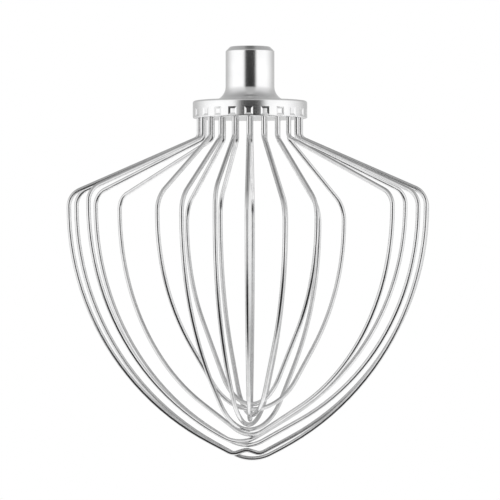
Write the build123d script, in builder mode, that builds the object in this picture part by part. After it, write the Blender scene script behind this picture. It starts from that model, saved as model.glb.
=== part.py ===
# Wire whisk for a stand mixer: eleven bent wire loops staked into the collar of a one-piece turned hub.
# Millimetres, +Z up the mixer's shaft. The origin is on the shaft's axis, where its cross pin locks.
# The front is -Y. Depths are measured down from the hub's top.
from build123d import *
import os
from math import cos, pi, radians, sin, sqrt, tan

# Hub, outside
neck_d = 22.0
neck_height = 24.4
neck_chamfer = 2.0
flare_width = 6.4
flare_height = 6.9
collar_height = 7.9
collar_edge = 1.0
collar_bevel_height = 0.45
collar_bevel_width = 0.6
collar_wall = 1.65

# Socket for the shaft, with a bayonet slot for its cross pin
shaft_d = 12.5
shaft_clearance = 0.15
socket_depth = 27.6
socket_chamfer = 0.8
pin_d = 4.0
pin_tip_radius = 8.0
pin_clearance = 0.2
pin_depth = 14.6
pin_turn = 45.0
pin_rise = 1.5

# Wire, its holes in the collar and the stakes that hold it. Wire and holes are round, and are drawn with
# few sides because they repeat along eleven long loops.
wire_d = 2.0
wire_sides = 5
leg_circle_d = 46.2
leg_depth = 5.9
leg_clearance = 0.05
stake_width = 3.9
stake_length = 3.7
stake_depth = 0.35
stake_height = 2.4

# Every loop leaves the collar straight down, then bends outwards to a shoulder
bend_depth = 41.1
bend_radius = 3.0
tip_depth = 185.6
crossing_gap = 0.3
shortest_run = 0.5

# Large loops, across the whisk: widest radius, shoulder, slope of the lower run and rounding of the tip
large_reach = 81.0
large_shoulder_angle = 23.7
large_shoulder_radius = 8.0
large_slope = 28.0
large_tip_radius = 18.0

# Small loops, front to back
small_reach = 55.5
small_shoulder_angle = 42.5
small_shoulder_radius = 14.0
small_slope = 54.0
small_tip_radius = 30.0

# Hump in the second large loop, which is as deep as the first one and passes over it
hump_lift = 1.05
hump_angle = 18.0
hump_radius = 5.0
hump_gap = 0.25

# Loops from the lowest crossing to the highest, bent by hand. Each has the hole of its front leg, counted to
# the right from the middle one, and shares of the group's reach: its front, its back and its tip's lean.
large_loops = [
    (5, 0.984, 0.990, 0.012),
    (-5, 1.008, 0.999, 0.020),
    (4, 1.012, 0.980, -0.028),
    (-4, 0.956, 0.963, 0.056),
    (3, 1.026, 1.022, -0.005),
]
small_loops = [
    (-2, 0.960, 1.040, -0.018),
    (-1, 0.900, 1.000, 0.0),
    (0, 0.990, 1.000, 0.0),
    (1, 1.050, 0.965, 0.036),
    (-3, 0.953, 1.018, -0.049),
    (2, 1.006, 1.021, 0.0),
]

# Heights and radii that follow from these
top_z = pin_depth
collar_top_z = top_z - neck_height
underside_z = collar_top_z - collar_height
seat_z = underside_z + leg_depth
bend_z = top_z - bend_depth
tip_z = top_z - tip_depth
neck_r = neck_d / 2
bore_r = shaft_d / 2 + shaft_clearance
slot_r = pin_tip_radius + pin_clearance
slot_width = pin_d + 2 * pin_clearance
slot_floor_z = -pin_rise - slot_width / 2
leg_r = leg_circle_d / 2
hole_r = wire_d / 2 + leg_clearance
collar_r = leg_r + hole_r + collar_wall
holes = 2 * (len(large_loops) + len(small_loops))
hole_step = 2 * pi / holes

os.makedirs("parts", exist_ok=True)


def bent(loop, group_reach):
    """A loop's front hole, its reaches to the front and to the back, and its tip's lean off the axis."""
    slot, front, back, lean = loop
    return slot, (front * group_reach, back * group_reach), lean * group_reach


def half_loop(reach, lean, point_z, shape, middle_run):
    """Corners of half a loop in its own plane, from its leg's seat to the turn into its lower run, and
    their bend radii. The lower run aims at a point below the tip, and the middle takes the end of it."""
    shoulder_angle, shoulder_radius, slope_angle = shape
    slope = radians(slope_angle)
    across = reach - lean
    shoulder_z = bend_z - (reach - leg_r) * tan(radians(shoulder_angle))
    widest_z = shoulder_z - shoulder_radius * tan(radians(90 - shoulder_angle) / 2) - shortest_run
    side_z = point_z + across * tan(slope)
    # the side's arc takes all the height below the shoulder, or all the lower run where that is shorter
    side_room = min(widest_z - side_z, across / cos(slope) - middle_run - shortest_run)
    side_radius = side_room / tan((pi / 2 - slope) / 2)
    corners = [(leg_r, seat_z), (leg_r, bend_z), (reach, shoulder_z), (reach, side_z)]
    return corners, [bend_radius, shoulder_radius, side_radius]


def whole_loop(reaches, lean, point_z, shape, middle_run, middle_corners, middle_radii):
    """The front half of a loop, the corners of its middle and the back half, ready for one polyline."""
    front_corners, front_radii = half_loop(reaches[0], lean, point_z, shape, middle_run)
    back_corners, back_radii = half_loop(reaches[1], -lean, point_z, shape, middle_run)
    turned_corners = [(-x, z) for x, z in reversed(back_corners)]
    return front_corners + middle_corners + turned_corners, front_radii + middle_radii + back_radii[::-1]


def plain_loop(reaches, lean, crossing_z, shape, tip_radius):
    """A loop whose lower runs meet in one rounded tip, and which crosses the axis at a given height."""
    slope = radians(shape[-1])
    lowest_z = crossing_z - tip_radius + sqrt(tip_radius**2 - lean**2)
    point_z = lowest_z - tip_radius * (1 / cos(slope) - 1)
    tip_run = tip_radius * tan(slope)
    return whole_loop(reaches, lean, point_z, shape, tip_run, [(lean, point_z)], [tip_radius])


# Hub: neck, flare and collar turned in one piece
with BuildPart() as hub:
    with BuildSketch(Plane.XZ):
        with BuildLine():
            Polyline(
                (neck_r + flare_width, collar_top_z),
                (collar_r - collar_edge, collar_top_z),
                (collar_r, collar_top_z - collar_edge),
                (collar_r, underside_z + collar_bevel_height),
                (collar_r - collar_bevel_width, underside_z),
                (0, underside_z),
                (0, top_z),
                (neck_r - neck_chamfer, top_z),
                (neck_r, top_z - neck_chamfer),
                (neck_r, collar_top_z + flare_height),
            )
            flare_centre = (neck_r + flare_width, collar_top_z + flare_height)
            EllipticalCenterArc(flare_centre, flare_width, flare_height, start_angle=180, arc_size=90)
        make_face()
    revolve(axis=Axis.Z)

    # blind socket, its mouth eased for the shaft
    with BuildSketch(Plane.XY.offset(top_z)):
        Circle(bore_r)
    extrude(amount=-socket_depth, mode=Mode.SUBTRACT)
    mouth = hub.edges().filter_by(GeomType.CIRCLE).group_by(Axis.Z)[-1].sort_by(SortBy.RADIUS)[0]
    chamfer(mouth, socket_chamfer)

    # the pin comes down the keyway, turns along the channel and springs up into its seat
    with BuildSketch(Plane.XY.offset(top_z)):
        with Locations((slot_r / 2, 0)):
            Rectangle(slot_r, slot_width)
    extrude(amount=slot_floor_z - top_z, mode=Mode.SUBTRACT)
    with BuildSketch(Plane.XZ):
        with Locations((slot_r / 2, -pin_rise)):
            Rectangle(slot_r, slot_width)
    revolve(axis=Axis.Z, revolution_arc=pin_turn, mode=Mode.SUBTRACT)
    with BuildSketch(Plane.XY.offset(slot_floor_z)):
        with PolarLocations(slot_r / 2, 1, start_angle=pin_turn):
            Rectangle(slot_r, slot_width)
    extrude(amount=slot_width + pin_rise, mode=Mode.SUBTRACT)

    # blind holes for the legs
    with BuildSketch(Plane.XY.offset(underside_z)):
        with PolarLocations(leg_r, holes, start_angle=-90):
            RegularPolygon(hole_r, wire_sides)
    extrude(amount=leg_depth, mode=Mode.SUBTRACT)

    # shallow square stakes, pressed into the rim over each leg
    stake_z = underside_z + stake_height
    stake_planes = [
        Plane(
            origin=(collar_r * sin(turn), -collar_r * cos(turn), stake_z),
            x_dir=(cos(turn), sin(turn), 0),
            z_dir=(-sin(turn), cos(turn), 0),
        )
        for turn in (hole_step * number for number in range(holes))
    ]
    with BuildSketch(*stake_planes):
        Rectangle(stake_width, stake_length)
    extrude(amount=stake_depth, mode=Mode.SUBTRACT)

hub.part.label = "hub"
export_step(hub.part, "parts/hub.step")

# Routes of the large loops: the first is plain, the second humps over it, the others are stacked above
large_shape = (large_shoulder_angle, large_shoulder_radius, large_slope)
routes = {}
slot, reaches, lean = bent(large_loops[0], large_reach)
routes["large_wire_1"] = (slot, *plain_loop(reaches, lean, tip_z, large_shape, large_tip_radius))

# the hump's front foot is where the two wires lie side by side
slot, reaches, lean = bent(large_loops[1], large_reach)
slope = radians(large_slope)
rise = radians(hump_angle)
point_z = tip_z + hump_lift - large_tip_radius * (1 / cos(slope) - 1)
hump_half = (wire_d + hump_gap) / (2 * sin(hole_step / 2)) - lean
dip_z = point_z + hump_half * tan(slope)
crest_z = dip_z + hump_half * tan(rise)
hump_corners = [(lean + hump_half, dip_z), (lean, crest_z), (lean - hump_half, dip_z)]
hump_run = hump_half / cos(slope) + hump_radius * tan((slope + rise) / 2)
loop = whole_loop(reaches, lean, point_z, large_shape, hump_run, hump_corners, [hump_radius] * 3)
routes["large_wire_2"] = (slot, *loop)

crossing_z = crest_z - hump_radius * (1 / cos(rise) - 1)
pitch = wire_d + crossing_gap
for number, large_loop in enumerate(large_loops[2:], start=3):
    crossing_z += pitch
    slot, reaches, lean = bent(large_loop, large_reach)
    loop = plain_loop(reaches, lean, crossing_z, large_shape, large_tip_radius)
    routes[f"large_wire_{number}"] = (slot, *loop)

# Routes of the small loops, stacked on
small_shape = (small_shoulder_angle, small_shoulder_radius, small_slope)
for number, small_loop in enumerate(small_loops, start=1):
    crossing_z += pitch
    slot, reaches, lean = bent(small_loop, small_reach)
    loop = plain_loop(reaches, lean, crossing_z, small_shape, small_tip_radius)
    routes[f"small_wire_{number}"] = (slot, *loop)

# Wires: one bent length each, swept along its route in a plane through the axis
for name, (slot, corners, radii) in routes.items():
    turn = hole_step * slot
    loop_plane = Plane((0, 0, 0), x_dir=(sin(turn), -cos(turn), 0), z_dir=(-cos(turn), -sin(turn), 0))
    with BuildPart() as wire:
        with BuildLine(loop_plane) as route:
            FilletPolyline(*corners, radius=radii)
        with BuildSketch(Plane(origin=route.line @ 0, x_dir=loop_plane.x_dir, z_dir=route.line % 0)):
            RegularPolygon(wire_d / 2, wire_sides)
        sweep(path=route.line)
    wire.part.label = name
    export_step(wire.part, f"parts/{name}.step")
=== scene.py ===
from math import atan2, ceil, cos, degrees, hypot, pi, radians, sin, sqrt, tan

import bmesh
import bpy
from mathutils import Matrix, Vector


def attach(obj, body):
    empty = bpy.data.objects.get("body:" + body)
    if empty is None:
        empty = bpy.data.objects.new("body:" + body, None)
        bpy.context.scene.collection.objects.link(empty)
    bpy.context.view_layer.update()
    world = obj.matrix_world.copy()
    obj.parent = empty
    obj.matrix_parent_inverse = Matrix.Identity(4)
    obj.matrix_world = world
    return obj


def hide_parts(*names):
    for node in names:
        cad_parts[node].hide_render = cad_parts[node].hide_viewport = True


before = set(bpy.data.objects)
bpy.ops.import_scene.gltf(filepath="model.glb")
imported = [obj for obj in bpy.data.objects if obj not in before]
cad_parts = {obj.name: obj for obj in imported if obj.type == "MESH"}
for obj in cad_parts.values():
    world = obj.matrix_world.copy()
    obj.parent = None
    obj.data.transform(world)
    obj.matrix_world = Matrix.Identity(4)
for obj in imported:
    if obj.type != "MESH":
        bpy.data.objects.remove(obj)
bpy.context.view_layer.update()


# Hub: one piece of satin aluminium, turned on a lathe, with a chamfered neck that flares into a thick
# collar. A blind socket with a bayonet slot takes the mixer's shaft, and the underside has a blind hole for
# every leg. Over each leg a square stake is pressed into the rim to grip it. Sizes are in millimetres.
top_z = 14.6
neck_r = 11.0
neck_chamfer = 2.0
collar_top_z = -9.8
flare = 6.65
collar_r = 25.8
collar_edge = 1.0
underside_z = -17.7
collar_lower_edge = 0.6
edge_break = 0.18
bore_r = 6.4
bore_floor_z = -13.0
bore_chamfer = 0.8
slot_r = 8.2
slot_width = 4.4
slot_floor_z = -3.7
slot_inner_r = 1.0
slot_steps = 24
pin_rise = 1.5
pin_turn = radians(45)
legs = 22
leg_r = 23.1
leg_hole_r = 1.05
leg_hole_sides = 24
leg_depth = 5.9
stake_z = -15.2
stake_length = 3.7
stake_wall = 0.9
stake_depth = 0.35
# columns round the rim from one leg to the next, across a stake and across one of its walls
columns = 25
stake_columns = 13
wall_columns = 3
# facets across each rounding, and the angle from which an edge stays sharp
facets = {flare: 18, collar_edge: 8, collar_lower_edge: 8, edge_break: 4}
hub_crease = radians(18)
# vertices nearer than this are one
weld = 0.0001
# colours of the clouded finish, and the radii in metres between which it dulls towards the pressed rim
dull_aluminium = (0.86, 0.86, 0.865, 1)
bright_aluminium = (0.91, 0.91, 0.91, 1)
dulled_rim = (0.0235, 0.0255)

leg_step = 2 * pi / legs
column = leg_step / columns


def finished(bm, name, crease):
    """Makes a bmesh in millimetres a piece at the origin in metres, smooth except at its creases."""
    bmesh.ops.scale(bm, vec=(0.001, 0.001, 0.001), verts=bm.verts)
    mesh = bpy.data.meshes.new(name)
    bm.to_mesh(mesh)
    bm.free()
    mesh.shade_smooth()
    mesh.set_sharp_from_angle(angle=crease)
    piece = bpy.data.objects.new(name, mesh)
    bpy.context.scene.collection.objects.link(piece)
    return piece


def outwards(bm):
    """Turns the faces of closed shapes outwards."""
    bmesh.ops.recalc_face_normals(bm, faces=bm.faces)
    if bm.calc_volume(signed=True) < 0:
        bmesh.ops.reverse_faces(bm, faces=bm.faces)


def cut(solid, tool):
    """The solid less the tool, as a new bmesh."""
    blanks = []
    for name, bm in (("blank", solid), ("tool", tool)):
        outwards(bm)
        mesh = bpy.data.meshes.new(name)
        bm.to_mesh(mesh)
        bm.free()
        blanks.append(bpy.data.objects.new(name, mesh))
        bpy.context.scene.collection.objects.link(blanks[-1])
    blank, cutter = blanks
    boolean = blank.modifiers.new("cut", "BOOLEAN")
    boolean.operation = "DIFFERENCE"
    boolean.solver = "EXACT"
    boolean.object = cutter
    left = bmesh.new()
    left.from_object(blank, bpy.context.evaluated_depsgraph_get())
    bmesh.ops.remove_doubles(left, verts=left.verts, dist=weld)
    for spent in blanks:
        bpy.data.meshes.remove(spent.data)
    return left


# the turned outline, from the underside up the rim and the neck and down into the socket: the radius, height
# and rounding of each corner
wall_rows = [stake_length / 2 - stake_wall * number / wall_columns for number in range(wall_columns + 1)]
stake_rows = [-rise for rise in wall_rows] + wall_rows[::-1]
turned = [
    (0, underside_z, 0),
    (leg_r - 2 * leg_hole_r, underside_z, 0),
    (collar_r, underside_z, collar_lower_edge),
    *((collar_r, stake_z + rise, 0) for rise in stake_rows),
    (collar_r, collar_top_z, collar_edge),
    (neck_r, collar_top_z, flare),
    (neck_r, top_z - neck_chamfer, edge_break),
    (neck_r - neck_chamfer, top_z, edge_break),
    (bore_r + bore_chamfer, top_z, edge_break),
    (bore_r, top_z - bore_chamfer, 0),
    (bore_r, bore_floor_z, 0),
    (0, bore_floor_z, 0),
]
hub_mesh = bmesh.new()
outline = [hub_mesh.verts.new((r, 0, z)) for r, z, _ in turned]
for below, above in zip(outline, outline[1:]):
    hub_mesh.edges.new((below, above))
for corner, (_, _, rounding) in zip(outline, turned):
    if rounding:
        bmesh.ops.bevel(
            hub_mesh,
            geom=[corner],
            offset=rounding,
            segments=facets[rounding],
            profile=0.5,
            affect="VERTICES",
            material=-1,
        )
# it starts half a column beside the front leg, so that every stake is made of whole columns
first_edge = Matrix.Rotation(column / 2 - pi / 2, 3, "Z")
bmesh.ops.rotate(hub_mesh, verts=hub_mesh.verts, cent=(0, 0, 0), matrix=first_edge)
bmesh.ops.spin(
    hub_mesh,
    geom=hub_mesh.verts[:] + hub_mesh.edges[:],
    cent=(0, 0, 0),
    axis=(0, 0, 1),
    angle=2 * pi,
    steps=legs * columns,
    use_merge=True,
)
bmesh.ops.remove_doubles(hub_mesh, verts=hub_mesh.verts, dist=weld)
outwards(hub_mesh)

# each stake: the rim's columns and rows are pressed in, down sloping walls to a flat floor, and the faces at
# its corners are folded along the ridges between two walls
column_slack = 0.1
ridges = {}
for vert in hub_mesh.verts:
    x, y, z = vert.co
    turns = atan2(x, -y) / leg_step
    from_side = stake_columns / 2 - abs(turns - round(turns)) * columns
    from_end = (stake_length / 2 - abs(z - stake_z)) / stake_wall * wall_columns
    inside = min(from_side, from_end, wall_columns)
    if hypot(x, y) > collar_r - edge_break / 2 and inside > -column_slack:
        vert.co -= Vector((x, y, 0)).normalized() * stake_depth * inside / wall_columns
        if abs(from_side - from_end) < column_slack:
            ridges[vert] = round(inside)
for face in hub_mesh.faces[:]:
    ends = [vert for vert in face.verts if vert in ridges]
    if len({ridges[vert] for vert in ends}) == 2:
        bmesh.utils.face_split(face, *ends)

# blind holes for the legs
drills = bmesh.new()
for number in range(legs):
    turn = number * leg_step
    place = Vector((leg_r * sin(turn), -leg_r * cos(turn), underside_z))
    bmesh.ops.create_cone(
        drills,
        cap_ends=True,
        segments=leg_hole_sides,
        radius1=leg_hole_r,
        radius2=leg_hole_r,
        depth=2 * leg_depth,
        matrix=Matrix.Translation(place),
    )
hub_mesh = cut(hub_mesh, drills)

# the bayonet slot: down the keyway, round the channel and up into the seat
keyway = bmesh.new()
bmesh.ops.create_cube(keyway, size=1)
bmesh.ops.scale(keyway, vec=(slot_r, slot_width, 2 * top_z), verts=keyway.verts)
bmesh.ops.translate(keyway, vec=(slot_r / 2, 0, slot_floor_z + top_z), verts=keyway.verts)
hub_mesh = cut(hub_mesh, keyway)

channel = bmesh.new()
bmesh.ops.create_grid(channel, x_segments=1, y_segments=1, size=0.5, matrix=Matrix.Rotation(pi / 2, 4, "X"))
bmesh.ops.scale(channel, vec=(slot_r - slot_inner_r, 1, slot_width), verts=channel.verts)
channel_middle = ((slot_r + slot_inner_r) / 2, 0, slot_floor_z + slot_width / 2)
bmesh.ops.translate(channel, vec=channel_middle, verts=channel.verts)
bmesh.ops.spin(
    channel,
    geom=channel.verts[:] + channel.edges[:] + channel.faces[:],
    cent=(0, 0, 0),
    axis=(0, 0, 1),
    angle=pin_turn,
    steps=slot_steps,
)
hub_mesh = cut(hub_mesh, channel)

seat = bmesh.new()
seat_height = slot_width + pin_rise
bmesh.ops.create_cube(seat, size=1)
bmesh.ops.scale(seat, vec=(slot_r, slot_width, seat_height), verts=seat.verts)
bmesh.ops.translate(seat, vec=(slot_r / 2, 0, slot_floor_z + seat_height / 2), verts=seat.verts)
bmesh.ops.rotate(seat, verts=seat.verts, cent=(0, 0, 0), matrix=Matrix.Rotation(pin_turn, 3, "Z"))
hub_mesh = cut(hub_mesh, seat)


class Shade:
    """A node's output. Operators add Math nodes to its tree, and add() adds any other node."""

    def __init__(self, tree, output=None):
        self.tree = tree
        self.output = output

    def add(self, kind, settings=None, sockets=None, output=0):
        node = self.tree.nodes.new(kind)
        for name, value in (settings or {}).items():
            setattr(node, name, value)
        for name, value in (sockets or {}).items():
            if isinstance(value, Shade):
                self.tree.links.new(value.output, node.inputs[name])
            else:
                node.inputs[name].default_value = value
        return Shade(self.tree, node.outputs[output] if node.outputs else None)

    def math(self, operation, *values):
        return self.add("ShaderNodeMath", {"operation": operation}, dict(enumerate(values)))

    def step(self, low, high):
        """0 below low and 1 above high, with a soft edge between them."""
        return self.add(
            "ShaderNodeMapRange",
            {"interpolation_type": "SMOOTHSTEP"},
            {"Value": self, "From Min": low, "From Max": high},
        )

    def between(self, first, second):
        """The first number where this is 0, the second where it is 1."""
        return first * (1 - self) + second * self

    def __add__(self, other):
        return self.math("ADD", self, other)

    def __sub__(self, other):
        return self.math("SUBTRACT", self, other)

    def __rsub__(self, other):
        return self.math("SUBTRACT", other, self)

    def __mul__(self, other):
        return self.math("MULTIPLY", self, other)

    __radd__ = __add__
    __rmul__ = __mul__


def new_finish(name):
    """An empty material and the Shade that its nodes start from."""
    finish = bpy.data.materials.new(name)
    finish.use_nodes = True
    finish.node_tree.nodes.clear()
    return finish, Shade(finish.node_tree)


def axes_of(place):
    """X, Y and Z of a vector."""
    split = place.add("ShaderNodeSeparateXYZ", {}, {"Vector": place})
    return [Shade(place.tree, socket) for socket in split.output.node.outputs]


def noise(place, scale, detail=3.0, roughness=0.5):
    """Noise round 0.5, at a scale per unit of the place."""
    sockets = {"Vector": place, "Scale": scale, "Detail": detail, "Roughness": roughness}
    return place.add("ShaderNodeTexNoise", {}, sockets)


def tinted(share, first, second):
    """The first colour where the share is 0, the second where it is 1."""
    return share.add("ShaderNodeMix", {"data_type": "RGBA"}, {0: share, 6: first, 7: second}, output=2)


def set_metal(start, tint, roughness, relief):
    """Gives a material the surface of bare metal."""
    sockets = {"Base Color": tint, "Metallic": 1.0, "Roughness": roughness, "Normal": relief}
    surface = start.add("ShaderNodeBsdfPrincipled", {}, sockets)
    start.add("ShaderNodeOutputMaterial", {}, {"Surface": surface})


# the lathe's rings run round the axis, under a fine grain and faint clouds
satin_aluminium, start = new_finish("satin_aluminium")
place = start.add("ShaderNodeTexCoord", output="Object")
x, y, z = axes_of(place)
radius = start.math("SQRT", x * x + y * y)
ring_place = start.add("ShaderNodeCombineXYZ", {}, {"X": radius * 1000, "Y": z * 1000})
turning = noise(ring_place, 3.2, roughness=0.6)
grain = noise(place, 5200.0, detail=2.0)
cloud = noise(place, 140.0)
tint = tinted(cloud.step(0.3, 0.7), dull_aluminium, bright_aluminium)
roughness = 0.13 + turning * 0.05 + grain * 0.05 + radius.step(*dulled_rim) * 0.08
ripple = turning * 0.7 + grain * 0.5
relief = start.add("ShaderNodeBump", {}, {"Strength": 0.06, "Distance": 0.00003, "Height": ripple})
set_metal(start, tint, roughness, relief)

hub = finished(hub_mesh, "hub_turned", hub_crease)
hub.data.materials.append(satin_aluminium)
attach(hub, "root")
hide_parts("hub")


# Wire loops: eleven lengths of polished stainless wire, each bent on a former into one loop whose two legs
# are staked into opposite holes. Five reach wide and make the outline, six are narrow and make the inner
# cage, and they cross on the axis in a stack. The second one has a hump where it passes over the first.
wire_r = 1.0
wire_sides = 18
wire_crease = radians(50)
seat_z = underside_z + leg_depth
bend_z = -26.5
bend_radius = 3.0
tip_z = -171.0
crossing_gap = 0.3
shortest_run = 0.5
# a group's shape is its shoulder's angle and radius and the slope of its lower runs
large_reach = 81.0
large_shape = (23.7, 8.0, 28.0)
large_tip_radius = 18.0
small_reach = 55.5
small_shape = (42.5, 14.0, 54.0)
small_tip_radius = 30.0
hump_lift = 1.05
hump_rise = radians(18)
hump_radius = 5.0
hump_gap = 0.25
# each loop's front leg, counted to the right from the middle one, its reach to the front and to the back
# and its tip's lean, as shares of the group's reach
large_loops = [
    (5, 0.984, 0.990, 0.012),
    (-5, 1.008, 0.999, 0.020),
    (4, 1.012, 0.980, -0.028),
    (-4, 0.956, 0.963, 0.056),
    (3, 1.026, 1.022, -0.005),
]
small_loops = [
    (-2, 0.960, 1.040, -0.018),
    (-1, 0.900, 1.000, 0.0),
    (0, 0.990, 1.000, 0.0),
    (1, 1.050, 0.965, 0.036),
    (-3, 0.953, 1.018, -0.049),
    (2, 1.006, 1.021, 0.0),
]
# bends over this radius are the wide ones at a loop's sides, and one facet of either kind turns few degrees
wide_bend_radius = 45.0
wide_bend_facet = 2.6
bend_facet = 5.0
fewest_facets = 8
dull_steel = (0.71, 0.71, 0.715, 1)
bright_steel = (0.78, 0.78, 0.78, 1)


def bent(loop, group_reach):
    """A loop's front leg, its reaches to the front and to the back, and its tip's lean."""
    leg, front, back, lean = loop
    return leg, (front * group_reach, back * group_reach), lean * group_reach


def half_loop(reach, lean, point_z, shape, middle_run):
    """Corners of half a loop, from its leg's seat to the turn into its lower run, and their bend radii."""
    shoulder_angle, shoulder_radius, slope_angle = shape
    slope = radians(slope_angle)
    across = reach - lean
    shoulder_z = bend_z - (reach - leg_r) * tan(radians(shoulder_angle))
    widest_z = shoulder_z - shoulder_radius * tan(radians(90 - shoulder_angle) / 2) - shortest_run
    side_z = point_z + across * tan(slope)
    side_room = min(widest_z - side_z, across / cos(slope) - middle_run - shortest_run)
    corners = [(leg_r, seat_z), (leg_r, bend_z), (reach, shoulder_z), (reach, side_z)]
    return corners, [bend_radius, shoulder_radius, side_room / tan((pi / 2 - slope) / 2)]


def whole_loop(reaches, lean, point_z, shape, middle_run, middle_corners, middle_radii):
    """The front half of a loop, the corners of its middle and the back half."""
    front, front_radii = half_loop(reaches[0], lean, point_z, shape, middle_run)
    back, back_radii = half_loop(reaches[1], -lean, point_z, shape, middle_run)
    turned_back = [(-x, z) for x, z in reversed(back)]
    return front + middle_corners + turned_back, front_radii + middle_radii + back_radii[::-1]


def plain_loop(reaches, lean, crossing_z, shape, tip_radius):
    """A loop whose lower runs meet in one rounded tip, and which crosses the axis at a given height."""
    slope = radians(shape[-1])
    lowest_z = crossing_z - tip_radius + sqrt(tip_radius**2 - lean**2)
    point_z = lowest_z - tip_radius * (1 / cos(slope) - 1)
    tip_run = tip_radius * tan(slope)
    return whole_loop(reaches, lean, point_z, shape, tip_run, [(lean, point_z)], [tip_radius])


def humped_loop(reaches, lean, lowest_z, shape, tip_radius):
    """A loop with a hump in its middle, and the height of the hump's crest."""
    slope = radians(shape[-1])
    point_z = lowest_z - tip_radius * (1 / cos(slope) - 1)
    hump_half = (2 * wire_r + hump_gap) / (2 * sin(leg_step / 2)) - lean
    dip_z = point_z + hump_half * tan(slope)
    crest_z = dip_z + hump_half * tan(hump_rise)
    hump_run = hump_half / cos(slope) + hump_radius * tan((slope + hump_rise) / 2)
    middle = [(lean + hump_half, dip_z), (lean, crest_z), (lean - hump_half, dip_z)]
    loop = whole_loop(reaches, lean, point_z, shape, hump_run, middle, [hump_radius] * 3)
    return loop, crest_z - hump_radius * (1 / cos(hump_rise) - 1)


def ring_edges(geometry):
    """The edges in what an operator made."""
    return [part for part in geometry if isinstance(part, bmesh.types.BMEdge)]


def feed(bm, ring, run):
    """Draws the wire's end ring out along a straight run, and returns the new end ring."""
    drawn_out = bmesh.ops.extrude_edge_only(bm, edges=ring)["geom"]
    end = [part for part in drawn_out if isinstance(part, bmesh.types.BMVert)]
    bmesh.ops.translate(bm, vec=run, verts=end)
    return ring_edges(drawn_out)


def bend_wire(name, leg, corners, radii):
    """Feeds a round wire along its loop, bends it at each corner and stands the loop in its plane. Every
    vertex keeps its place in the wire's section, for the marks of the drawing die."""
    bm = bmesh.new()
    section = bm.verts.layers.float_vector.new("section")
    points = [Vector((x, 0, z)) for x, z in corners]
    at = points[0]
    bmesh.ops.create_circle(bm, segments=wire_sides, radius=wire_r, matrix=Matrix.Translation(at))
    for vert in bm.verts:
        vert[section] = (vert.co - at) / wire_r
    ring = bm.edges[:]
    for before, corner, after, radius in zip(points, points[1:], points[2:], radii):
        heading = (corner - before).normalized()
        next_heading = (after - corner).normalized()
        angle = heading.angle(next_heading)
        setback = radius * tan(angle / 2)
        bend_start = corner - heading * setback
        ring = feed(bm, ring, bend_start - at)
        axis = heading.cross(next_heading).normalized()
        facet = wide_bend_facet if radius > wide_bend_radius else bend_facet
        bend = bmesh.ops.spin(
            bm,
            geom=ring + list(dict.fromkeys(vert for edge in ring for vert in edge.verts)),
            cent=bend_start + axis.cross(heading) * radius,
            axis=axis,
            angle=angle,
            steps=max(fewest_facets, ceil(degrees(angle) / facet)),
        )
        ring = ring_edges(bend["geom_last"])
        at = corner + next_heading * setback
    feed(bm, ring, points[-1] - at)
    bmesh.ops.holes_fill(bm, edges=bm.edges, sides=wire_sides)
    outwards(bm)
    loop_plane = Matrix.Rotation(leg * leg_step - pi / 2, 3, "Z")
    bmesh.ops.rotate(bm, verts=bm.verts, cent=(0, 0, 0), matrix=loop_plane)
    return finished(bm, name, wire_crease)


# the drawing die's marks run along the wire, under patches of rubbing
polished_steel, start = new_finish("polished_steel")
place = start.add("ShaderNodeTexCoord", output="Object")
height = axes_of(place)[2]
section = start.add("ShaderNodeAttribute", {"attribute_name": "section"}, output="Vector")
side, face, _ = axes_of(section)
drawn_place = start.add("ShaderNodeCombineXYZ", {}, {"X": side * 9, "Y": face * 9, "Z": height * 40})
drawn = noise(drawn_place, 1.0)
rub = noise(place, 260.0)
tint = tinted(rub.step(0.3, 0.75), dull_steel, bright_steel)
roughness = 0.1 + drawn * 0.08 + rub * 0.05
relief = start.add("ShaderNodeBump", {}, {"Strength": 0.08, "Distance": 0.00002, "Height": drawn})
set_metal(start, tint, roughness, relief)

# the lowest loop is plain, the second humps over it, and the others are stacked above
routes = {}
pitch = 2 * wire_r + crossing_gap
leg, reaches, lean = bent(large_loops[0], large_reach)
routes["large_wire_1"] = (leg, *plain_loop(reaches, lean, tip_z, large_shape, large_tip_radius))
leg, reaches, lean = bent(large_loops[1], large_reach)
humped, crossing_z = humped_loop(reaches, lean, tip_z + hump_lift, large_shape, large_tip_radius)
routes["large_wire_2"] = (leg, *humped)
for number, large_loop in enumerate(large_loops[2:], start=3):
    crossing_z += pitch
    leg, reaches, lean = bent(large_loop, large_reach)
    loop = plain_loop(reaches, lean, crossing_z, large_shape, large_tip_radius)
    routes[f"large_wire_{number}"] = (leg, *loop)
for number, small_loop in enumerate(small_loops, start=1):
    crossing_z += pitch
    leg, reaches, lean = bent(small_loop, small_reach)
    loop = plain_loop(reaches, lean, crossing_z, small_shape, small_tip_radius)
    routes[f"small_wire_{number}"] = (leg, *loop)

for node, (leg, corners, radii) in routes.items():
    wire = bend_wire(node + "_round", leg, corners, radii)
    wire.data.materials.append(polished_steel)
    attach(wire, "root")
    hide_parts(node)


# Studio: the whisk hangs by its neck over a white floor in a white room. Softboxes stand at both sides, a
# dark screen round the camera draws the dark line down the middle of the metal, and a hood hangs overhead.
# The camera looks level, a little from the right of the front, from far off.
scene = bpy.context.scene
scene.view_settings.view_transform = "Standard"

# what the metal sees of the room, where 1 is white
softbox_light = 1.18
wall_light = 0.58
far_wall_light = 0.66
ceiling_light = 0.38
hood_light = 0.14
screen_light = 0.03
over_screen_light = 0.11
ground_light = 1.0
back_ground_light = 1.24
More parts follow.
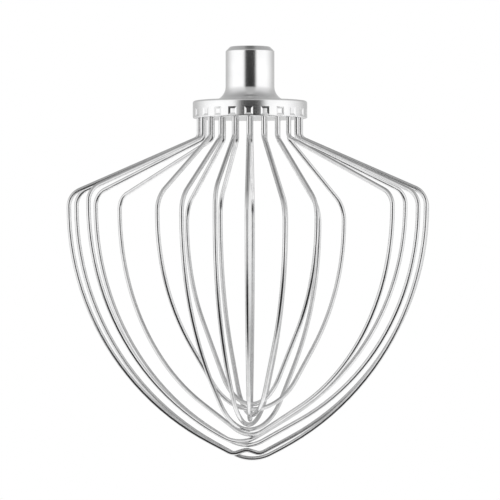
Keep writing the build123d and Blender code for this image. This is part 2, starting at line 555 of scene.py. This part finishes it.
# soft edges, in degrees round from the front, up from the level or down from it
softbox_backs = (75, 145)
far_wall_sides = (150, 172)
softbox_tops = (4, 30)
softbox_top_share = 0.45
ceiling_edge = (25, 75)
hood_tilt = radians(7)
hood_rim = radians(15)
hood_core = radians(4)
screen_turn = 2.5
screen_sides = (18, 35)
screen_top = (14, 22)
ground_edge = (12, 32)
back_ground_sides = (80, 120)
shaded_sides = (50, 80)
shaded_foot = (52, 74)

room = bpy.data.worlds.new("room")
scene.world = room
room.use_nodes = True
room.node_tree.nodes.clear()
start = Shade(room.node_tree)
x, y, z = axes_of(start.add("ShaderNodeTexCoord", output="Generated"))
bearing = start.math("ARCTAN2", x, y * -1) * degrees(1)
round_from_front = start.math("ABSOLUTE", bearing)
up = start.math("ARCSINE", z) * degrees(1)
down = up * -1

# softboxes fade to the walls behind the whisk, and upwards to the ceiling and its hood
sides = round_from_front.step(*softbox_backs).between(softbox_light, wall_light)
walls = round_from_front.step(*far_wall_sides).between(sides, far_wall_light)
hood = (y * sin(hood_tilt) + z * cos(hood_tilt)).step(cos(hood_rim), cos(hood_core))
ceiling = hood.between(ceiling_light, hood_light)
high = up.step(*softbox_tops) * softbox_top_share + up.step(*ceiling_edge) * (1 - softbox_top_share)
around = high.between(walls, ceiling)

# the screen stands in front of them, and shades the ground before it as far as under the whisk
screen = up.step(*screen_top).between(screen_light, ceiling + over_screen_light)
from_screen = start.math("ABSOLUTE", bearing - screen_turn)
upper = from_screen.step(*screen_sides).between(screen, around)
shaded = (1 - round_from_front.step(*shaded_sides)) * (1 - down.step(*shaded_foot))
open_ground = round_from_front.step(*back_ground_sides).between(ground_light, back_ground_light)
ground = shaded.between(open_ground, screen_light)
glow = down.step(*ground_edge).between(upper, ground)

# the camera itself sees plain white
lit = start.add("ShaderNodeBackground", {}, {"Color": (1, 1, 1, 1), "Strength": glow})
seen = start.add("ShaderNodeBackground", {}, {"Color": (1, 1, 1, 1), "Strength": 1.0})
ray = start.add("ShaderNodeLightPath", output="Is Camera Ray")
mixed = start.add("ShaderNodeMixShader", {}, {0: ray, 1: lit, 2: seen})
start.add("ShaderNodeOutputWorld", {}, {"Surface": mixed})

# the floor takes the whisk's shadow and fades into the white background, and the metal sees the room's
# ground through it
floor_z = -0.235
floor_half = 6
floor_fade = (0.25, 0.55)
floor_paint = (0.85, 0.85, 0.85, 1)
near_white = 0.5
floor_mesh = bmesh.new()
bmesh.ops.create_grid(floor_mesh, x_segments=1, y_segments=1, size=floor_half)
bmesh.ops.translate(floor_mesh, vec=(0, 0, floor_z), verts=floor_mesh.verts)
mesh = bpy.data.meshes.new("floor")
floor_mesh.to_mesh(mesh)
floor_mesh.free()
floor = bpy.data.objects.new("floor", mesh)
scene.collection.objects.link(floor)
white_floor, start = new_finish("white_floor")
x, y, _ = axes_of(start.add("ShaderNodeTexCoord", output="Object"))
paint = start.add("ShaderNodeBsdfDiffuse", {}, {"Color": floor_paint})
bright = start.add("ShaderNodeEmission", {}, {"Color": (1, 1, 1, 1), "Strength": 1.0})
far = start.math("SQRT", x * x + y * y).step(*floor_fade)
seen = start.add("ShaderNodeMixShader", {}, {0: far.between(near_white, 1), 1: paint, 2: bright})
through = start.add("ShaderNodeBsdfTransparent")
ray = start.add("ShaderNodeLightPath", output="Is Camera Ray")
shiny = start.add("ShaderNodeLightPath", output="Is Glossy Ray")
base = start.add("ShaderNodeMixShader", {}, {0: shiny, 1: paint, 2: through})
mixed = start.add("ShaderNodeMixShader", {}, {0: ray, 1: base, 2: seen})
start.add("ShaderNodeOutputMaterial", {}, {"Surface": mixed})
floor.data.materials.append(white_floor)

# one soft lamp overhead for the shadow, which the metal doesn't reflect
lamp_place = Vector((-0.4, -0.5, 1.5))
lamp_target = Vector((0, 0, -0.15))
lamp = bpy.data.lights.new("overhead", "AREA")
lamp.size = 1.2
lamp.energy = 20.0
overhead = bpy.data.objects.new("overhead", lamp)
overhead.location = lamp_place
overhead.rotation_euler = (lamp_target - lamp_place).to_track_quat("-Z", "Y").to_euler()
overhead.visible_glossy = False
scene.collection.objects.link(overhead)

# the photograph's frame is 500 pixels of 0.451 mm at the whisk's axis
photo_scale = 0.000451
photo_size = 500
camera_distance = 1.308
camera_turn = radians(1.35)
camera_height = -0.077
camera_data = bpy.data.cameras.new("camera")
camera_data.sensor_width = 36.0
camera_data.lens = camera_data.sensor_width * camera_distance / (photo_size * photo_scale)
camera = bpy.data.objects.new("camera", camera_data)
camera_x = camera_distance * sin(camera_turn)
camera_y = -camera_distance * cos(camera_turn)
camera.location = (camera_x, camera_y, camera_height)
camera.rotation_euler = (pi / 2, 0, camera_turn)
scene.collection.objects.link(camera)
scene.camera = camera
